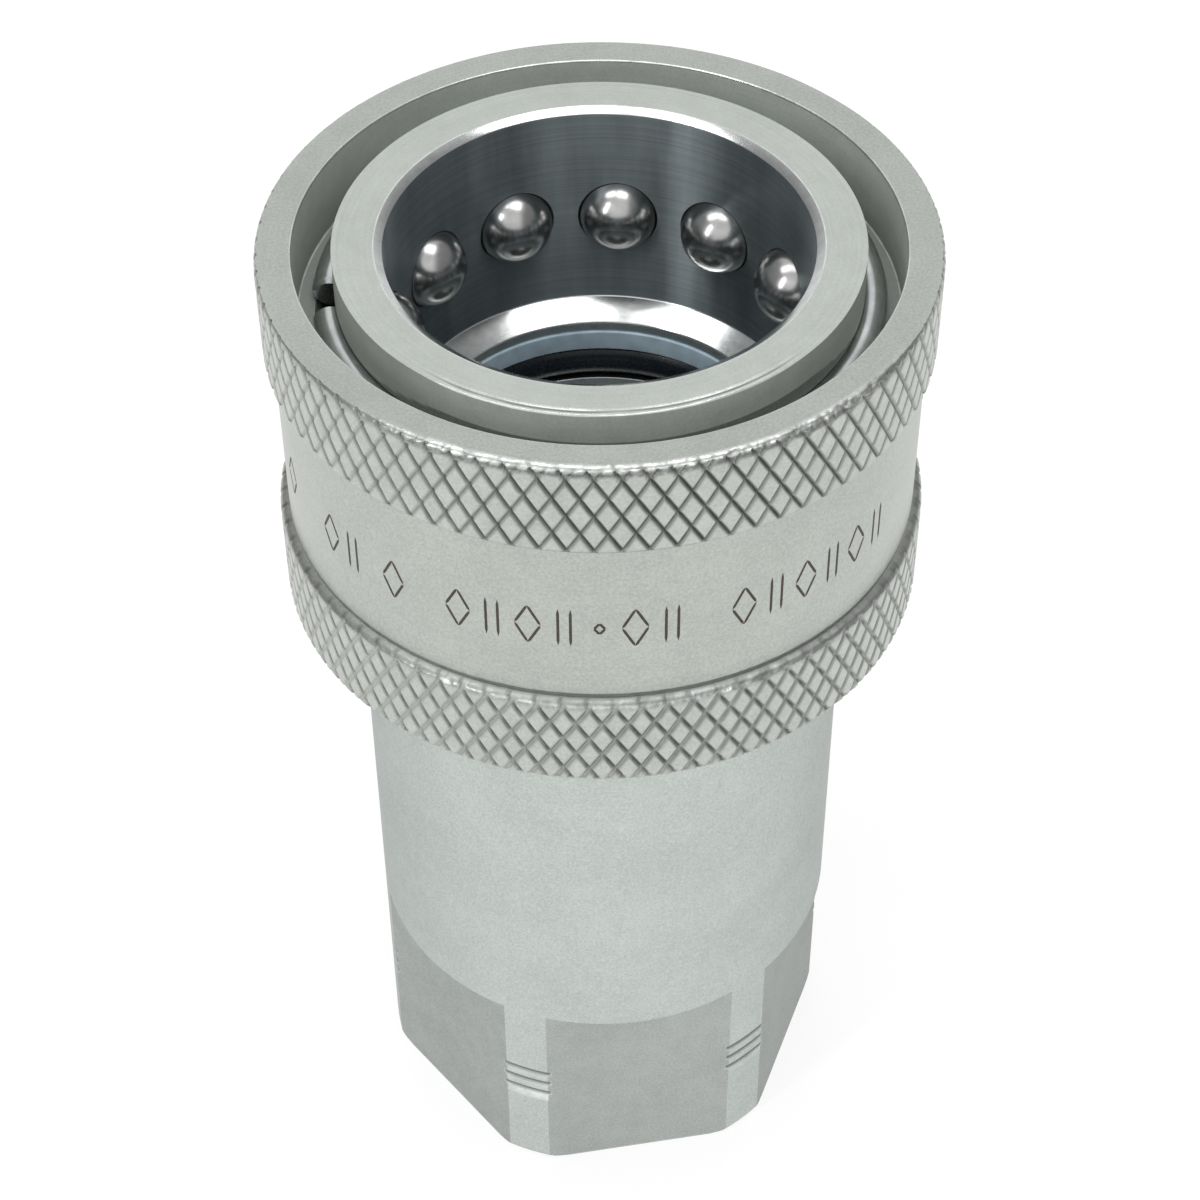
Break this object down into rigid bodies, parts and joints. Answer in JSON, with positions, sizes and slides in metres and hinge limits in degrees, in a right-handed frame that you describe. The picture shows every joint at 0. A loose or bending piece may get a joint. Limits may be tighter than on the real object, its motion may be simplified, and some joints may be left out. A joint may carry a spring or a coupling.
{
  "type": "quick disconnect coupler",
  "caption": "Socket half of a hydraulic quick disconnect coupler: a ball-lock nose with a sprung knurled pull-back sleeve, a poppet valve and a hexagon end with a female pipe port.",
  "frame": {"origin": "centre of the hexagon's end face, on the coupler's axis", "axes": "+Z along the coupler's axis towards the open nose; a wrench flat faces -Y"},
  "size_m": [0.038, 0.038, 0.068],
  "materials": {
    "zinc_body": "satin zinc plating over turned steel",
    "zinc_nose": "satin zinc plating, bore turned and polished by use",
    "zinc_sleeve": "satin zinc plating, diamond knurled grips",
    "ring_wire": "drawn wire, bright",
    "washer_steel": "dull plated sheet",
    "spring_wire": "drawn spring wire",
    "ball_steel": "hardened and polished",
    "poppet_steel": "turned, dull",
    "backup_plastic": "smooth blue-grey plastic",
    "seal_rubber": "smooth black rubber"
  },
  "bodies": {
    "body": {"hex_body": "zinc_body", "front_body": "zinc_nose", "snap_ring": "ring_wire", "tip_backup_ring": "backup_plastic", "tip_seal": "seal_rubber", "body_backup_ring": "backup_plastic", "body_seal": "seal_rubber", "valve_guide": "poppet_steel", "guide_ring": "ring_wire", "valve_spring": "spring_wire"},
    "spring_seat": {"spring_washer": "washer_steel", "sleeve_spring": "spring_wire"},
    "sleeve": {"locking_sleeve": "zinc_sleeve"},
    "valve": {"poppet": "poppet_steel", "poppet_seal": "seal_rubber"},
    "ball_01": {"ball_01": "ball_steel"},
    "ball_02": {"ball_02": "ball_steel"},
    "ball_03": {"ball_03": "ball_steel"},
    "ball_04": {"ball_04": "ball_steel"},
    "ball_05": {"ball_05": "ball_steel"},
    "ball_06": {"ball_06": "ball_steel"},
    "ball_07": {"ball_07": "ball_steel"},
    "ball_08": {"ball_08": "ball_steel"},
    "ball_09": {"ball_09": "ball_steel"},
    "ball_10": {"ball_10": "ball_steel"},
    "ball_11": {"ball_11": "ball_steel"},
    "ball_12": {"ball_12": "ball_steel"}
  },
  "joints": [
    {"name": "sleeve_spin", "type": "hinge", "parent": "body", "child": "spring_seat", "pos_m": [0, 0, 0.0461], "axis": [0, 0, 1], "continuous": true},
    {"name": "sleeve_slide", "type": "slide", "parent": "spring_seat", "child": "sleeve", "axis": [0, 0, -1], "range_m": [0, 0.006], "stiffness_N_per_m": 5000, "springref_m": -0.008, "deforming": ["sleeve_spring"]},
    {"name": "valve_slide", "type": "slide", "parent": "body", "child": "valve", "axis": [0, 0, -1], "range_m": [0, 0.006], "stiffness_N_per_m": 2500, "springref_m": -0.006, "deforming": ["valve_spring"]},
    {"name": "ball_01_slide", "type": "slide", "parent": "body", "child": "ball_01", "axis": [0.9659, 0.2588, 0], "range_m": [0, 0.00187]},
    {"name": "ball_02_slide", "type": "slide", "parent": "body", "child": "ball_02", "axis": [0.7071, 0.7071, 0], "range_m": [0, 0.00187]},
    {"name": "ball_03_slide", "type": "slide", "parent": "body", "child": "ball_03", "axis": [0.2588, 0.9659, 0], "range_m": [0, 0.00187]},
    {"name": "ball_04_slide", "type": "slide", "parent": "body", "child": "ball_04", "axis": [-0.2588, 0.9659, 0], "range_m": [0, 0.00187]},
    {"name": "ball_05_slide", "type": "slide", "parent": "body", "child": "ball_05", "axis": [-0.7071, 0.7071, 0], "range_m": [0, 0.00187]},
    {"name": "ball_06_slide", "type": "slide", "parent": "body", "child": "ball_06", "axis": [-0.9659, 0.2588, 0], "range_m": [0, 0.00187]},
    {"name": "ball_07_slide", "type": "slide", "parent": "body", "child": "ball_07", "axis": [-0.9659, -0.2588, 0], "range_m": [0, 0.00187]},
    {"name": "ball_08_slide", "type": "slide", "parent": "body", "child": "ball_08", "axis": [-0.7071, -0.7071, 0], "range_m": [0, 0.00187]},
    {"name": "ball_09_slide", "type": "slide", "parent": "body", "child": "ball_09", "axis": [-0.2588, -0.9659, 0], "range_m": [0, 0.00187]},
    {"name": "ball_10_slide", "type": "slide", "parent": "body", "child": "ball_10", "axis": [0.2588, -0.9659, 0], "range_m": [0, 0.00187]},
    {"name": "ball_11_slide", "type": "slide", "parent": "body", "child": "ball_11", "axis": [0.7071, -0.7071, 0], "range_m": [0, 0.00187]},
    {"name": "ball_12_slide", "type": "slide", "parent": "body", "child": "ball_12", "axis": [0.9659, -0.2588, 0], "range_m": [0, 0.00187]}
  ],
  "couplings": [
    {"joint": "ball_01_slide", "follows": "sleeve_slide", "ratio": 0.31},
    {"joint": "ball_02_slide", "follows": "sleeve_slide", "ratio": 0.31},
    {"joint": "ball_03_slide", "follows": "sleeve_slide", "ratio": 0.31},
    {"joint": "ball_04_slide", "follows": "sleeve_slide", "ratio": 0.31},
    {"joint": "ball_05_slide", "follows": "sleeve_slide", "ratio": 0.31},
    {"joint": "ball_06_slide", "follows": "sleeve_slide", "ratio": 0.31},
    {"joint": "ball_07_slide", "follows": "sleeve_slide", "ratio": 0.31},
    {"joint": "ball_08_slide", "follows": "sleeve_slide", "ratio": 0.31},
    {"joint": "ball_09_slide", "follows": "sleeve_slide", "ratio": 0.31},
    {"joint": "ball_10_slide", "follows": "sleeve_slide", "ratio": 0.31},
    {"joint": "ball_11_slide", "follows": "sleeve_slide", "ratio": 0.31},
    {"joint": "ball_12_slide", "follows": "sleeve_slide", "ratio": 0.31}
  ]
}
